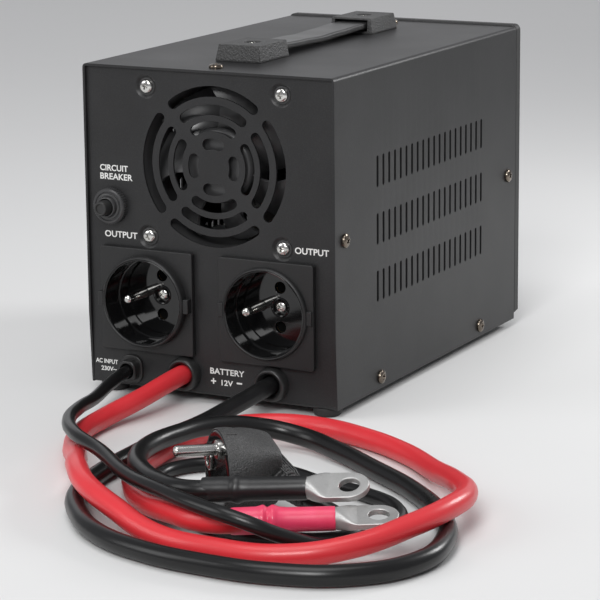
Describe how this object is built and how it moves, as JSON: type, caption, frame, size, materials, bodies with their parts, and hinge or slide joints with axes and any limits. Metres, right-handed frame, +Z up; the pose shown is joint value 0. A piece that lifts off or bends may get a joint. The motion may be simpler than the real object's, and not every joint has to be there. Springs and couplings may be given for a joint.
{
  "type": "power inverter",
  "caption": "Power inverter in a black steel case with a carrying handle, a fan, mains outlets, battery cables with lugs and a mains lead with a plug.",
  "frame": {"origin": "on the floor under the middle of the case", "axes": "+Z up; -Y towards the outlet panel, +Y towards the display; +X across the case"},
  "size_m": [0.2644, 0.4412, 0.167],
  "materials": {
    "black_steel": "satin",
    "black_plastic": "matte",
    "gloss_black_plastic": "gloss",
    "zinc_steel": "satin",
    "dark_steel": "satin",
    "tinned_copper": "satin",
    "brass": "satin",
    "copper_wire": "satin",
    "black_rubber": "matte",
    "red_pvc": "satin",
    "black_pvc": "satin",
    "red_shrink": "satin",
    "black_shrink": "satin",
    "red_plastic": "satin",
    "ceramic": "matte",
    "clear_window": "gloss",
    "circuit_board": "satin",
    "aluminium": "satin",
    "core_steel": "matte",
    "blue_plastic": "satin",
    "fuse_plastic": "satin",
    "white_ink": "matte"
  },
  "bodies": {
    "root": {"chassis": "black_steel", "cover_shell": "black_steel", "front_fascia": "black_plastic", "display_window": "clear_window", "display_board": "circuit_board", "power_switch": "black_plastic", "fascia_screws": "dark_steel", "cover_screws": "dark_steel", "feet": "black_rubber", "foot_screws": "zinc_steel", "fan_frame": "black_plastic", "fan_screws": "zinc_steel", "outlet_left_cover": "gloss_black_plastic", "outlet_left_base": "ceramic", "outlet_left_earth_pin": "brass", "outlet_left_contacts": "brass", "outlet_left_screw": "zinc_steel", "outlet_right_cover": "gloss_black_plastic", "outlet_right_base": "ceramic", "outlet_right_earth_pin": "brass", "outlet_right_contacts": "brass", "outlet_right_screw": "zinc_steel", "breaker_body": "black_plastic", "breaker_nut": "black_plastic", "breaker_terminals": "brass", "mains_gland": "black_plastic", "positive_grommet": "black_rubber", "negative_grommet": "black_rubber", "mains_lead": "black_pvc", "positive_cable": "red_pvc", "negative_cable": "black_pvc", "positive_sleeve": "red_shrink", "negative_sleeve": "black_shrink", "positive_lug": "tinned_copper", "negative_lug": "tinned_copper", "plug_body": "black_plastic", "plug_pins": "zinc_steel", "plug_earth_clips": "zinc_steel", "handle_cap_outlet_end": "black_plastic", "handle_cap_display_end": "black_plastic", "handle_screws": "zinc_steel", "main_board": "circuit_board", "board_standoffs": "brass", "heat_sinks": "aluminium", "power_transistors": "black_plastic", "transformer_core": "core_steel", "transformer_winding": "copper_wire", "transformer_bolts": "zinc_steel", "capacitors": "blue_plastic", "relays": "blue_plastic", "fuses": "fuse_plastic", "filter_choke": "copper_wire", "battery_terminals": "copper_wire", "mains_terminals": "ceramic", "control_board": "circuit_board"},
    "fan_rotor": {"fan_rotor": "black_plastic"},
    "breaker_button": {"breaker_button": "black_plastic"},
    "power_button": {"power_button": "red_plastic"},
    "handle_near": {"handle_strap_near": "black_rubber"},
    "handle_far": {"handle_strap_far": "black_rubber"}
  },
  "joints": [
    {"name": "fan_spin", "type": "hinge", "parent": "root", "child": "fan_rotor", "pos_m": [0.0028, -0.0885, 0.1138], "axis": [0, 1, 0], "continuous": true},
    {"name": "breaker_reset", "type": "slide", "parent": "root", "child": "breaker_button", "axis": [0, -1, 0], "range_m": [0, 0.004]},
    {"name": "power_press", "type": "slide", "parent": "root", "child": "power_button", "axis": [0, -1, 0], "range_m": [0, 0.0025], "stiffness_N_per_m": 200},
    {"name": "handle_lift", "type": "hinge", "parent": "root", "child": "handle_near", "pos_m": [0, -0.0423, 0.16315], "axis": [1, 0, 0], "range_deg": [0, 13]},
    {"name": "handle_bend", "type": "hinge", "parent": "handle_near", "child": "handle_far", "pos_m": [0, 0.0027, 0.16315], "axis": [1, 0, 0], "range_deg": [-26, 0]}
  ],
  "couplings": [
    {"joint": "handle_bend", "follows": "handle_lift", "ratio": -2}
  ]
}
